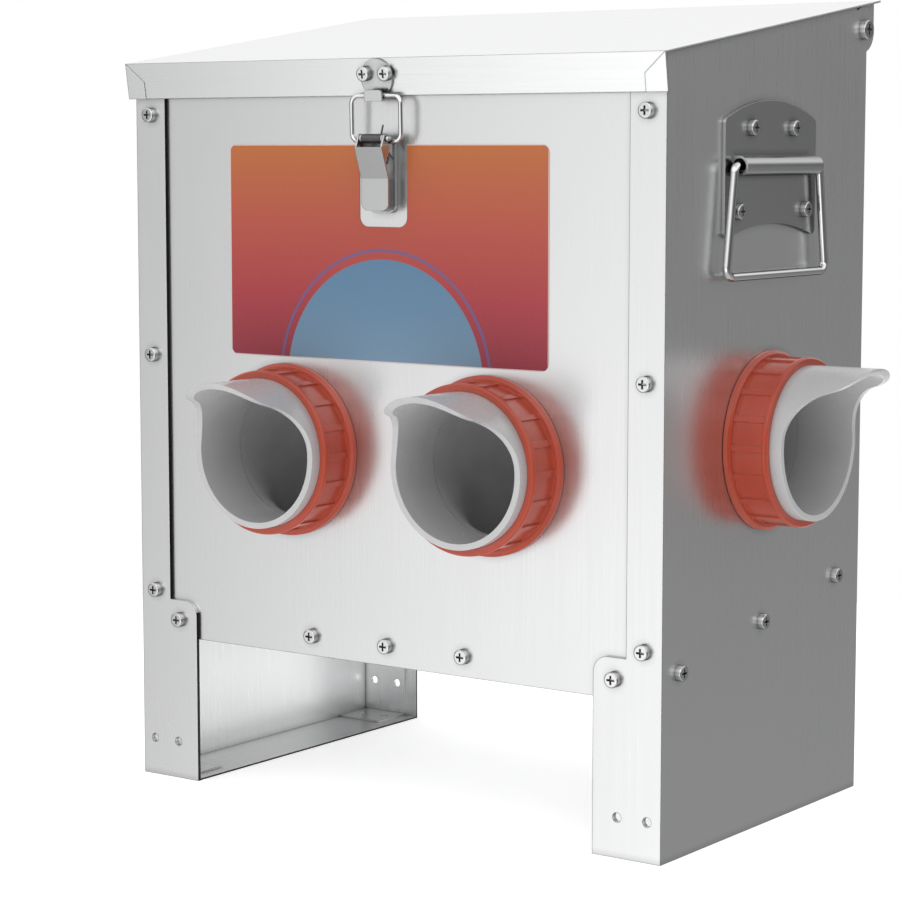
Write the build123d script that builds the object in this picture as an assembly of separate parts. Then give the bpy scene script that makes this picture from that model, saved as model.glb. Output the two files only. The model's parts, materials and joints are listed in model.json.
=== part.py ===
from build123d import *
import os
from math import cos, radians, sin, sqrt, tan

os.makedirs("parts", exist_ok=True)

# Gravity poultry feeder: a sheet-metal hopper on two channel-shaped sides, with a
# sloping hinged lid, a draw latch, two drop handles and four screw-ring feeding ports.
# Model frame while building: X from the centre plane, Y back from the front flanges'
# face, Z up from the floor.  export_node() moves everything to the stored origin.
# All lengths are in millimetres and all angles in degrees.

# ---- body shell ----
BODY_W = 330.0                # over the two side panels
BODY_D = 198.0                # over the front and rear flanges
SHEET = 1.0                   # galvanised sheet
HALF_W = BODY_W / 2
HEM_T = 2.0                   # front flanges are hemmed double
FACE_Y = HEM_T                # outer face of the front panel, behind the hemmed flanges
FLANGE_W = 20.0               # narrow front and rear flanges of a side panel
LEG_W = 38.6                  # wide flanges at the legs, and the flange on the floor
LEG_TOP_FRONT = 97.8          # height where the front flange widens into the leg
LEG_TOP_REAR = 132.0
LEG_CORNER_R = 8.0
REAR_FLANGE_TOP = 384.0
FRONT_PANEL_BOTTOM = 77.4
REAR_PANEL_TOP = 396.0
REAR_NOTCH_W = 6.4            # corner notches of the rear panel, clear of the lid's skirts
REAR_NOTCH_Z = 383.0
PANEL_GAP = 0.1               # assembly gap between sheet edges
BRACKET_W = 29.6
BRACKET_H = 32.0
BRACKET_D = 28.0

# ---- lid ----
LID_SLOPE = 8.5               # rising to the rear
LID_FRONT_Y = -5.4            # top front edge
LID_FRONT_Z = 384.0
LID_REAR_Y = 208.3
LID_OVERHANG = 2.4            # past each side panel
LID_LIP = 18.8                # depth of the front lip, square to the lid
LID_BACK_LIP_Z = 406.0        # lower edge of the short lip at the rear
LID_GAP = 0.4                 # lid underside to panel edges
SKIRT_GAP = 0.4               # skirt to side panel
SKIRT_FRONT_Y = 4.4
SKIRT_FRONT_Z = 371.5
SKIRT_TAIL_Y = 184.0
SKIRT_TAIL_DROP = 6.5         # lower edge of the tail, under the pivot
SKIRT_CORNER_R = 6.0
TAB_W = 12.0                  # folded tab at each front corner
TAB_T = 0.4
PIVOT_Y = 194.5
PIVOT_Z = 400.5
PIVOT_R = 3.0                 # shoulder of the pivot screws
EAR_R = 11.6                  # round ear of a side panel, concentric with the pivot
RUN_CLEAR = 0.05              # radial clearance of the running fits

# ---- sloping hopper floor ----
FLOOR_Z0 = 97.3               # height of the floor's top face at Y = 0
FLOOR_RISE = 0.1716           # rise per mm towards the rear
FLOOR_FLANGE = 19.6

# ---- feeding ports ----
FRONT_PORT_X = 63.2
FRONT_PORT_Z = 184.5
SIDE_PORT_Y = 99.0
SIDE_PORT_Z = 195.3
SPOUT_OR = 38.4
SPOUT_IR = 35.4
SPOUT_FLANGE_R = 44.0
SPOUT_FLANGE_T = 1.5
LIP_OUT = 28.6                # reach of the lower lip from the panel
BILL_OUT = 59.8               # reach of the bill above it
PORT_HOLE_R = 38.7
RING_GAP = 0.2                # ring nut to panel
RING_OUT = 22.3               # front rim of the ring nut, from the panel
RING_FLANGE_R = 44.75         # rear flange of the ring nut
RING_R = 41.0                 # floor of the pockets between the ribs
RING_BACK_R = 43.2
RING_RIM_R = 42.2
RIB_COUNT = 18
RIB_H = 0.9
RIB_W = 3.0
ELBOW_OR = 37.6
ELBOW_IR = 35.0
ELBOW_BEND = 41.0
ELBOW_STUB = 4.0
ELBOW_LEAD = 2.0              # straight part between the panel and the bend
COLLAR_R = 42.5

# ---- catch on the lid ----
CATCH_T = 1.2
CATCH_HEAD_R = 9.6
CATCH_HEAD_DROP = 9.9
CATCH_NECK_W = 15.6
CATCH_NECK_DROP = 13.0
CATCH_SCREW_X = (-6.5, 6.5)
CATCH_SCREW_DROP = 7.6
CATCH_HOLE_R = 1.65
HOOK_W = 10.8
HOOK_POCKET = 3.0
HOOK_DROP = 20.9              # underside of the hook, down the lip
HOOK_LIP = 5.6                # height of the hook's upturned lip
HOOK_SHOULDER = 4.4

# ---- latch ----
LATCH_PIN_Y = -7.6
LATCH_PIN_Z = 344.2
LATCH_PIN_R = 1.25
LATCH_HEAD_R = 1.55
BAIL_PIVOT_Y = LATCH_PIN_Y + 2.7
BAIL_PIVOT_Z = LATCH_PIN_Z - 1.3
BAIL_WIRE_R = 1.15
BAIL_HALF_W = 15.2            # wire centre line
BAIL_LENGTH = 22.1            # pivot to top bar
BAIL_CORNER_R = 4.0
BAIL_CLEAR = 0.45             # stored bail to the hook's lip
LEVER_HALF_W = 8.4
LEVER_T = 1.0
LEVER_TOP = (-12.2, 340.1)    # (y, z) of the outer face
LEVER_KNEE = (-6.7, 324.4)
LEVER_END_Z = 308.6
LEVER_CORNER_R = 4.2
TRAY_HALF_W = 8.0
TRAY_BOTTOM_Z = 307.4
TRAY_TOP_Z = 344.0
TRAY_RIM_Y = -0.3
TRAY_CORNER_R = 4.2
LUG_HALF_W = 7.1
LATCH_RIVET_Z = (334.0, 316.0)
RIVET_R = 1.25
RIVET_HOLE_R = 1.3
SPRING_R = 2.4
SPRING_BORE_R = 1.45
SPRING_TURNS = 11

# ---- handles ----
HANDLE_Y = 95.5
HANDLE_PLATE_W = 90.0
HANDLE_PLATE_T = 2.0
HANDLE_SIDE_Z = (295.6, 353.4)
HANDLE_ARCH_Z = (302.9, 362.9)
HANDLE_AXIS_Z = 331.1
HANDLE_BARREL_R = 4.85
HANDLE_BARREL_HALF = 38.0
HANDLE_BARREL_WALL = 1.2
HANDLE_MOUTH = 8.0            # depth of the wide bore at each end of the barrel
HANDLE_WIRE_R = 2.05
HANDLE_AXIS_X = HALF_W + HANDLE_PLATE_T + HANDLE_BARREL_R - HANDLE_BARREL_WALL
GRIP_TOP_HALF = 42.1
GRIP_BOTTOM_HALF = 49.5
GRIP_DROP = 53.0
HANDLE_SCREWS = ((-20.6, 349.4), (20.6, 349.4), (-33.2, 309.2), (33.2, 309.2))

# ---- label ----
LABEL_X = (-101.3, 98.7)
LABEL_Z = (232.4, 341.4)
LABEL_T = 0.2
LABEL_CORNER_R = 4.5
NOTCH_X = -1.0
NOTCH_W = 29.6
NOTCH_Z = 300.4

# ---- fasteners ----
SCREW_R = 2.0
HOLE_R = 2.15
HEAD_R = 3.9
HEAD_H = 3.3
HEAD_EDGE_R = 0.75
NUT_H = 3.0
NUT_W = 7.0
FOOT_HOLE_R = 2.4
FRONT_FLANGE_Z = (357.0, 229.7, 102.1)
REAR_FLANGE_Z = (357.0, 242.0, 142.0)
FLANGE_SCREW_X = HALF_W - 10.2
LEG_SCREW_X = HALF_W - 26.7
LEG_SCREW_FRONT_Z = 87.2
LEG_SCREW_REAR_Z = 121.6
FLOOR_SCREW_X = (-48.2, 0.0, 48.2)
FLOOR_SCREW_FRONT_Z = 87.7
FLOOR_SCREW_REAR_Z = 121.6
FLOOR_SIDE_Y = (15.5, 94.5, 171.7)
FLOOR_SIDE_DROP = 9.0
FOOT_HOLE_X = (HALF_W - 7.7, HALF_W - 24.6)
FOOT_HOLE_Z = 20.0
FOOT_HOLE_INSET = 14.2

SIDES = (-1, 1)
SLOPE = radians(LID_SLOPE)
Y_SHIFT = (BILL_OUT - FACE_Y - LID_REAR_Y) / 2   # puts the origin under the box centre
CUT = 5.0                                        # reach of a cutter past the sheet it cuts


# ---------------------------------------------------------------- helpers

def lid_top(y):
    """Height of the lid's upper face."""
    return LID_FRONT_Z + (y - LID_FRONT_Y) * tan(SLOPE)


def panel_top(y):
    """Height of a panel edge that stands under the lid."""
    return lid_top(y) - (SHEET + LID_GAP) / cos(SLOPE)


def floor_top(y):
    """Height of the hopper floor's upper face."""
    return FLOOR_Z0 + FLOOR_RISE * y


def floor_side_z(y):
    """Height of a screw through the floor's side flange."""
    return floor_top(y) - FLOOR_SIDE_DROP


def box(x0, x1, y0, y1, z0, z1):
    """Solid box from its limits."""
    centre = Pos((x0 + x1) / 2, (y0 + y1) / 2, (z0 + z1) / 2)
    return centre * Box(x1 - x0, y1 - y0, z1 - z0)


def disc(radius, z0, z1):
    """Cylinder about local Z between two heights."""
    return Pos(0, 0, (z0 + z1) / 2) * Cylinder(radius, z1 - z0)


def rod_x(y, z, radius, x0, x1):
    """Cylinder along X."""
    return Pos((x0 + x1) / 2, y, z) * Rot(0, 90, 0) * Cylinder(radius, abs(x1 - x0))


def rod_y(x, z, radius, y0, y1):
    """Cylinder along Y."""
    return Pos(x, (y0 + y1) / 2, z) * Rot(90, 0, 0) * Cylinder(radius, y1 - y0)


def rod_z(x, y, radius, z0, z1):
    """Cylinder along Z."""
    return Pos(x, y, (z0 + z1) / 2) * Cylinder(radius, z1 - z0)


def yz_plate(points, x0, x1):
    """Flat plate from an outline of (y, z) points, between two X limits."""
    sketch = Plane.YZ * Polygon(*points, align=None)
    return Pos(x0, 0, 0) * extrude(sketch, x1 - x0, dir=(1, 0, 0))


def xz_plate(outline, y0, y1):
    """Flat plate from a sketch drawn in X and Z, between two Y limits."""
    sketch = Plane((0, y0, 0), x_dir=(1, 0, 0), z_dir=(0, -1, 0)) * outline
    return extrude(sketch, y1 - y0, dir=(0, 1, 0))


def revolve_profile(points):
    """Solid of revolution about local Z from (radius, z) points."""
    return revolve(Plane.XZ * Polygon(*points, align=None), Axis.Z, 360)


def mirrored(shape):
    """Copy on the other side of the centre plane."""
    return mirror(shape, Plane.YZ)


def both(shape):
    """A shape and its copy on the other side."""
    return [shape, mirrored(shape)]


def joined(shape, additions):
    """A shape with each addition fused to it."""
    for addition in additions:
        shape = shape + addition
    return shape


def export_node(name, solids):
    """Write one node, moved to the stored origin."""
    solids = solids if isinstance(solids, list) else [solids]
    bodies = [body for solid in solids for body in solid.solids()]
    moved = [Pos(0, Y_SHIFT, 0) * body for body in bodies]
    shape = moved[0] if len(moved) == 1 else Compound(children=moved)
    export_step(shape, f"parts/{name}.step")


# ---------------------------------------------------------------- fasteners

def pan_screw(shank, head_r=HEAD_R, head_h=HEAD_H, radius=SCREW_R):
    """Cross-recessed pan-head screw: head above local Z = 0, shank below."""
    head = disc(head_r, 0, head_h)
    head = fillet(head.edges().group_by(Axis.Z)[-1], HEAD_EDGE_R)
    slot = Pos(0, 0, head_h) * Box(head_r * 1.1, head_r * 0.24, head_h)
    return head + disc(radius, -shank, 0.2) - slot - Rot(0, 0, 90) * slot


def hex_nut(height=NUT_H, across=NUT_W, bore=SCREW_R + RUN_CLEAR):
    """Hexagon nut standing on local Z = 0."""
    blank = extrude(RegularPolygon(across / 2, 6, major_radius=False), height)
    face_r = across * 0.52
    corner_r = across * 0.59
    chamfers = revolve_profile([
        (0, 0), (face_r, 0), (corner_r, 0.6), (corner_r, height - 0.6), (face_r, height), (0, height)])
    return (blank & chamfers) - Cylinder(bore, 4 * height)


def outward(axis, pos):
    """Location whose local Z leaves the body along +X, -Y or +Y."""
    turn = {"+X": Rot(0, 90, 0), "-Y": Rot(90, 0, 0), "+Y": Rot(-90, 0, 0)}
    return Pos(*pos) * turn[axis]


def screw_row(places, axis, shank, grip):
    """Screws at the given places with a nut on each, as two lists of solids."""
    screws = []
    nuts = []
    for pos in places:
        spot = outward(axis, pos)
        screws.append(spot * pan_screw(shank))
        nuts.append(spot * Pos(0, 0, -grip - NUT_H) * hex_nut())
    return screws, nuts


# ---------------------------------------------------------------- side panels

def leg_flange_outline(leg_top, flange_top):
    """Front view of one flange: narrow above, wide and round-cornered at the leg."""
    x_in = HALF_W - FLANGE_W
    x_leg = HALF_W - LEG_W
    x_arc = x_leg + LEG_CORNER_R
    z_arc = leg_top - LEG_CORNER_R
    with BuildSketch() as sk:
        with BuildLine():
            Polyline((x_leg, 0), (HALF_W, 0), (HALF_W, flange_top), (x_in, flange_top), (x_in, leg_top))
            Line((x_in, leg_top), (x_arc, leg_top))
            RadiusArc((x_arc, leg_top), (x_leg, z_arc), -LEG_CORNER_R)
            Line((x_leg, z_arc), (x_leg, 0))
        make_face()
    return sk.sketch


def foot_hole_tools():
    """Cutters for the open holes in the legs and floor flanges of one side."""
    tools = []
    for x in FOOT_HOLE_X:
        tools.append(rod_y(x, FOOT_HOLE_Z, FOOT_HOLE_R, -CUT, CUT))
        tools.append(rod_y(x, FOOT_HOLE_Z, FOOT_HOLE_R, BODY_D - CUT, BODY_D + CUT))
        for y in (FOOT_HOLE_INSET, BODY_D - FOOT_HOLE_INSET):
            tools.append(rod_z(x, y, FOOT_HOLE_R, -CUT, CUT))
    return tools


def side_panel():
    """Right side panel: plate, front and rear flanges, floor flange and lid ear."""
    shoulder_y = PIVOT_Y - 8
    plate = yz_plate(
        [(0, 0), (BODY_D, 0), (BODY_D, PIVOT_Z), (PIVOT_Y, PIVOT_Z),
         (shoulder_y, panel_top(PIVOT_Y) - 1.2), (0, panel_top(0))], HALF_W - SHEET, HALF_W)
    ear = rod_x(PIVOT_Y, PIVOT_Z, EAR_R, HALF_W - SHEET, HALF_W)
    front = xz_plate(leg_flange_outline(LEG_TOP_FRONT, panel_top(0)), 0, HEM_T)
    rear = xz_plate(leg_flange_outline(LEG_TOP_REAR, REAR_FLANGE_TOP), BODY_D - SHEET, BODY_D)
    foot = box(HALF_W - LEG_W, HALF_W, 0, BODY_D, 0, SHEET)
    x_cut = (HALF_W - CUT, HALF_W + CUT)
    y_cut = (BODY_D - CUT, BODY_D + CUT)
    tools = [rod_x(SIDE_PORT_Y, SIDE_PORT_Z, PORT_HOLE_R, *x_cut)]
    tools.append(rod_x(PIVOT_Y, PIVOT_Z, PIVOT_R + RUN_CLEAR, *x_cut))
    tools += [rod_y(FLANGE_SCREW_X, z, HOLE_R, -CUT, CUT) for z in FRONT_FLANGE_Z]
    tools += [rod_y(FLANGE_SCREW_X, z, HOLE_R, *y_cut) for z in REAR_FLANGE_Z]
    tools.append(rod_y(LEG_SCREW_X, LEG_SCREW_FRONT_Z, HOLE_R, -CUT, CUT))
    tools.append(rod_y(LEG_SCREW_X, LEG_SCREW_REAR_Z, HOLE_R, *y_cut))
    tools += [rod_x(y, floor_side_z(y), HOLE_R, *x_cut) for y in FLOOR_SIDE_Y]
    tools += [rod_x(HANDLE_Y + dy, z, HOLE_R, *x_cut) for dy, z in HANDLE_SCREWS]
    return plate + ear + front + rear + foot - tools - foot_hole_tools()


def foot_bracket(leg_t):
    """L-shaped stiffener in a right foot, welded behind a leg flange of this thickness."""
    x1 = HALF_W - SHEET - PANEL_GAP
    x0 = x1 - BRACKET_W
    upright = box(x0, x1, leg_t, leg_t + SHEET, SHEET, BRACKET_H)
    tab = box(x0, x1, leg_t, BRACKET_D, SHEET, 2 * SHEET)
    return upright + tab - foot_hole_tools()


# ---------------------------------------------------------------- panels and floor

def front_panel():
    """Front sheet between the side panels, behind their flanges."""
    x_in = HALF_W - SHEET - PANEL_GAP
    panel = box(-x_in, x_in, FACE_Y, FACE_Y + SHEET, FRONT_PANEL_BOTTOM, panel_top(0))
    y_cut = (FACE_Y - CUT, FACE_Y + CUT)
    tools = [rod_y(x, FLOOR_SCREW_FRONT_Z, HOLE_R, *y_cut) for x in FLOOR_SCREW_X]
    tools += [rod_y(0, z, RIVET_HOLE_R, *y_cut) for z in LATCH_RIVET_Z]
    for s in SIDES:
        tools.append(rod_y(s * FRONT_PORT_X, FRONT_PORT_Z, PORT_HOLE_R, *y_cut))
        tools.append(rod_y(s * LEG_SCREW_X, LEG_SCREW_FRONT_Z, HOLE_R, *y_cut))
        tools += [rod_y(s * FLANGE_SCREW_X, z, HOLE_R, *y_cut) for z in FRONT_FLANGE_Z]
    return panel - tools


def rear_panel():
    """Rear sheet, notched at the top corners where the lid's skirts swing past."""
    x_in = HALF_W - SHEET - PANEL_GAP
    y0 = BODY_D - 2 * SHEET
    y1 = BODY_D - SHEET
    panel = box(-x_in, x_in, y0, y1, floor_top(y0) - FLOOR_FLANGE, REAR_PANEL_TOP)
    y_cut = (y0 - CUT, y1 + CUT)
    tools = [rod_y(x, FLOOR_SCREW_REAR_Z, HOLE_R, *y_cut) for x in FLOOR_SCREW_X]
    for s in SIDES:
        corner = s * x_in
        tools.append(box(corner - REAR_NOTCH_W, corner + REAR_NOTCH_W, *y_cut, REAR_NOTCH_Z, PIVOT_Z))
        tools.append(rod_y(s * LEG_SCREW_X, LEG_SCREW_REAR_Z, HOLE_R, *y_cut))
        tools += [rod_y(s * FLANGE_SCREW_X, z, HOLE_R, *y_cut) for z in REAR_FLANGE_Z]
    return panel - tools


def hopper_floor():
    """Sloping floor with its four edges folded down."""
    x_out = HALF_W - SHEET - PANEL_GAP
    y0 = FACE_Y + SHEET
    y1 = BODY_D - 2 * SHEET
    drop = FLOOR_FLANGE
    outer = yz_plate(
        [(y0, floor_top(y0) - drop), (y1, floor_top(y1) - drop), (y1, floor_top(y1)),
         (y0, floor_top(y0))], -x_out, x_out)
    u0 = y0 + SHEET
    u1 = y1 - SHEET
    inner = yz_plate(
        [(u0, floor_top(y0) - 2 * drop), (u1, floor_top(y1) - 2 * drop), (u1, floor_top(u1) - SHEET),
         (u0, floor_top(u0) - SHEET)], -x_out + SHEET, x_out - SHEET)
    y_cut = (BODY_D - CUT, BODY_D + CUT)
    tools = [rod_y(x, FLOOR_SCREW_FRONT_Z, HOLE_R, -CUT, CUT) for x in FLOOR_SCREW_X]
    tools += [rod_y(x, FLOOR_SCREW_REAR_Z, HOLE_R, *y_cut) for x in FLOOR_SCREW_X]
    for s in SIDES:
        edge = s * x_out
        tools.append(rod_y(s * LEG_SCREW_X, LEG_SCREW_FRONT_Z, HOLE_R, -CUT, CUT))
        tools.append(rod_y(s * LEG_SCREW_X, LEG_SCREW_REAR_Z, HOLE_R, *y_cut))
        tools += [rod_x(y, floor_side_z(y), HOLE_R, edge - CUT, edge + CUT) for y in FLOOR_SIDE_Y]
    return outer - inner - tools


# ---------------------------------------------------------------- lid

def lip_point(drop, out=0.0):
    """Point (y, z) on the front lip, a distance down it and a distance out from it."""
    y = LID_FRONT_Y + drop * sin(SLOPE) - out * cos(SLOPE)
    z = LID_FRONT_Z - drop * cos(SLOPE) - out * sin(SLOPE)
    return (y, z)


def lip_frame():
    """Plane on the front lip's outer face: X across, Y up the lip, Z out of it."""
    outward_dir = (0, -cos(SLOPE), -sin(SLOPE))
    return Plane((0, LID_FRONT_Y, LID_FRONT_Z), x_dir=(1, 0, 0), z_dir=outward_dir)


def corner_tab():
    """Folded-over tab that closes the lid's front corner."""
    edge = HALF_W + LID_OVERHANG
    outline = Polygon(
        (edge, 0), (edge - TAB_W, -10.0), (edge - TAB_W, -LID_LIP), (edge, -LID_LIP), align=None)
    return extrude(lip_frame() * outline, TAB_T, dir=lip_frame().z_dir)


def lid_shell():
    """Folded lid: sloping top, front lip, short rear lip, and two skirts on the pivots."""
    edge = HALF_W + LID_OVERHANG
    rear_z = lid_top(LID_REAR_Y)
    under = SHEET / cos(SLOPE)
    fold = (LID_FRONT_Y + SHEET * sin(SLOPE), LID_FRONT_Z - SHEET * cos(SLOPE))
    top = yz_plate(
        [(LID_FRONT_Y, LID_FRONT_Z), (LID_REAR_Y, rear_z), (LID_REAR_Y, rear_z - under), fold], -edge, edge)
    lip = yz_plate(
        [lip_point(0), lip_point(LID_LIP), lip_point(LID_LIP, -SHEET), lip_point(0, -SHEET)], -edge, edge)
    x1 = HALF_W - SHEET - SKIRT_GAP
    x0 = x1 - SHEET
    back_lip = box(-x0, x0, LID_REAR_Y - SHEET, LID_REAR_Y, LID_BACK_LIP_Z, rear_z - under)
    tail_z = PIVOT_Z - SKIRT_TAIL_DROP
    skirt = yz_plate(
        [(SKIRT_FRONT_Y, lid_top(SKIRT_FRONT_Y) - SHEET / 2), (SKIRT_FRONT_Y, SKIRT_FRONT_Z),
         (SKIRT_TAIL_Y, tail_z), (LID_REAR_Y, tail_z), (LID_REAR_Y, rear_z - SHEET / 2)], x0, x1)
    corner = skirt.edges().filter_by(Axis.X).sort_by(Axis.Y)[-2:].sort_by(Axis.Z)[0]
    skirt = fillet(corner, SKIRT_CORNER_R)
    skirt = skirt - rod_x(PIVOT_Y, PIVOT_Z, PIVOT_R + RUN_CLEAR, x0 - 2, x1 + 2)
    shell = joined(top + lip + back_lip, both(skirt) + both(corner_tab()))
    return shell - [catch_screw_tool(x) for x in CATCH_SCREW_X]


# ---------------------------------------------------------------- catch on the lid

def catch_screw_place(x):
    """Location of a catch screw's head on the catch plate, local Z leaving the lid."""
    return lip_frame() * Pos(x, -CATCH_SCREW_DROP, CATCH_T)


def catch_screw_tool(x):
    """Cutter for a catch screw hole."""
    return catch_screw_place(x) * Cylinder(CATCH_HOLE_R, 12)


def catch_plate():
    """Catch on the lid's lip: round head, narrow neck and an upturned hook."""
    head = Pos(0, -CATCH_HEAD_DROP) * Circle(CATCH_HEAD_R)
    half_neck = CATCH_NECK_W / 2
    half_hook = HOOK_W / 2
    shoulder = -HOOK_DROP + HOOK_SHOULDER
    neck = Polygon(
        (-half_neck, -CATCH_NECK_DROP), (half_neck, -CATCH_NECK_DROP), (half_hook, shoulder),
        (half_hook, -HOOK_DROP), (-half_hook, -HOOK_DROP), (-half_hook, shoulder), align=None)
    plate = extrude(lip_frame() * (head + neck), CATCH_T, dir=lip_frame().z_dir)
    depth = 2 * CATCH_T + HOOK_POCKET
    shelf = Pos(0, -HOOK_DROP + CATCH_T / 2, depth / 2) * Box(HOOK_W, CATCH_T, depth)
    lip = Pos(0, -HOOK_DROP + HOOK_LIP / 2, depth - CATCH_T / 2) * Box(HOOK_W, HOOK_LIP, CATCH_T)
    lip = fillet(lip.edges().filter_by(Axis.Z).group_by(Axis.Y)[-1], 2.0)
    hook = lip_frame() * (shelf + lip)
    return plate + hook - [catch_screw_tool(x) for x in CATCH_SCREW_X]


# ---------------------------------------------------------------- latch

def latch_base():
    """Shallow tray riveted to the front panel, with two lugs that carry the lever pin."""
    height = TRAY_TOP_Z - TRAY_BOTTOM_Z
    middle = Pos(0, (TRAY_TOP_Z + TRAY_BOTTOM_Z) / 2)
    tray = xz_plate(middle * Rectangle(2 * TRAY_HALF_W, height), TRAY_RIM_Y, FACE_Y)
    tray = fillet(tray.edges().filter_by(Axis.Y).group_by(Axis.Z)[0], TRAY_CORNER_R)
    inside = middle * Pos(0, SHEET) * Rectangle(2 * (TRAY_HALF_W - SHEET), height)
    pocket = xz_plate(inside, TRAY_RIM_Y - 1, FACE_Y - SHEET)
    pocket = fillet(pocket.edges().filter_by(Axis.Y).group_by(Axis.Z)[0], TRAY_CORNER_R - SHEET)
    lug = yz_plate(
        [(FACE_Y - SHEET / 2, TRAY_TOP_Z), (FACE_Y - SHEET / 2, 333.0),
         (LATCH_PIN_Y - 1.6, LATCH_PIN_Z - 1.8), (LATCH_PIN_Y + 0.3, LATCH_PIN_Z + 2.35)],
        LUG_HALF_W - SHEET, LUG_HALF_W)
    lug = lug + rod_x(LATCH_PIN_Y, LATCH_PIN_Z, 2.4, LUG_HALF_W - SHEET, LUG_HALF_W)
    base = joined(tray - pocket, both(lug))
    base = base - rod_x(LATCH_PIN_Y, LATCH_PIN_Z, LATCH_PIN_R + 0.02, -20, 20)
    return base - [rod_y(0, z, RIVET_HOLE_R, -CUT, CUT) for z in LATCH_RIVET_Z]


def latch_pin():
    """Pin through the lugs and the lever's ears, with domed heads."""
    half = LEVER_HALF_W + 0.3
    dome = revolve_profile([
        (0, 0), (LATCH_HEAD_R, 0), (LATCH_HEAD_R, 0.7), (1.3, 1.4), (0.8, 1.8), (0, 1.95)])
    head = Pos(half, LATCH_PIN_Y, LATCH_PIN_Z) * Rot(0, 90, 0) * dome
    return joined(rod_x(LATCH_PIN_Y, LATCH_PIN_Z, LATCH_PIN_R, -half, half), both(head))


def latch_spring():
    """Torsion spring around the pin, drawn as a closed coil with one leg up."""
    half = LUG_HALF_W - SHEET - 0.3
    pitch = 2 * half / SPRING_TURNS
    coil = rod_x(LATCH_PIN_Y, LATCH_PIN_Z, SPRING_R, -half, half)
    coil = coil - rod_x(LATCH_PIN_Y, LATCH_PIN_Z, SPRING_BORE_R, -half - 1, half + 1)
    groove = Rot(0, 90, 0) * Torus(SPRING_R + 0.3, 0.42)
    for i in range(1, SPRING_TURNS):
        coil = coil - Pos(i * pitch - half, LATCH_PIN_Y, LATCH_PIN_Z) * groove
    leg = Rot(0, 14, 0) * disc(0.45, 0, 7.0)
    return coil + Pos(3.0, LATCH_PIN_Y + 1.9, LATCH_PIN_Z) * leg


def latch_lever():
    """Lever: bent plate with side ears that turn on the pin."""
    top_y, top_z = LEVER_TOP
    knee_y, knee_z = LEVER_KNEE
    plate = yz_plate(
        [(top_y + LEVER_T, top_z), (knee_y + LEVER_T, knee_z), (knee_y + LEVER_T, LEVER_END_Z),
         (knee_y, LEVER_END_Z), LEVER_KNEE, LEVER_TOP], -LEVER_HALF_W, LEVER_HALF_W)
    plate = fillet(plate.edges().filter_by(Axis.Y).group_by(Axis.Z)[0], LEVER_CORNER_R)
    ear_x = (LEVER_HALF_W - LEVER_T, LEVER_HALF_W)
    ear = yz_plate(
        [(top_y + 0.4, top_z), (LATCH_PIN_Y - 2.3, LATCH_PIN_Z + 0.8),
         (BAIL_PIVOT_Y + 1.9, BAIL_PIVOT_Z - 0.8), (-9.0, 332.5)], *ear_x)
    ear = ear + rod_x(LATCH_PIN_Y, LATCH_PIN_Z, 2.5, *ear_x)
    ear = ear + rod_x(BAIL_PIVOT_Y, BAIL_PIVOT_Z, 2.1, *ear_x)
    lever = joined(plate, both(ear))
    lever = lever - rod_x(LATCH_PIN_Y, LATCH_PIN_Z, LATCH_PIN_R + RUN_CLEAR, -20, 20)
    return lever - rod_x(BAIL_PIVOT_Y, BAIL_PIVOT_Z, BAIL_WIRE_R + RUN_CLEAR, -20, 20)


def latch_bail():
    """Wire loop that turns in the lever's ears and stands in front of the hook."""
    out = 2 * CATCH_T + HOOK_POCKET + BAIL_CLEAR + BAIL_WIRE_R
    bar_y = lip_point(HOOK_DROP - HOOK_LIP / 2, out)[0]
    reach = bar_y - BAIL_PIVOT_Y
    rise = sqrt(BAIL_LENGTH ** 2 - reach ** 2)
    loop_normal = (0, -rise / BAIL_LENGTH, reach / BAIL_LENGTH)
    plane = Plane((0, BAIL_PIVOT_Y, BAIL_PIVOT_Z), x_dir=(1, 0, 0), z_dir=loop_normal)
    tip = LEVER_HALF_W - LEVER_T + 0.1
    w = BAIL_HALF_W
    corners = [(-tip, 0), (-w, 0), (-w, BAIL_LENGTH), (w, BAIL_LENGTH), (w, 0), (tip, 0)]
    path = plane * FilletPolyline(*corners, radius=BAIL_CORNER_R)
    profile = Plane(path @ 0, z_dir=path % 0) * Circle(BAIL_WIRE_R)
    return sweep(profile, path=path)


def latch_rivets():
    """Rivets that hold the base to the front panel."""
    floor_y = FACE_Y - SHEET
    back_y = FACE_Y + SHEET
    rivets = []
    for z in LATCH_RIVET_Z:
        shank = rod_y(0, z, RIVET_R, floor_y - 0.4, back_y + 0.8)
        head = rod_y(0, z, 2.5, floor_y - 0.9, floor_y)
        tail = rod_y(0, z, 2.2, back_y, back_y + 0.9)
        rivets.append(shank + head + tail)
    return rivets


# ---------------------------------------------------------------- handles

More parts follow.
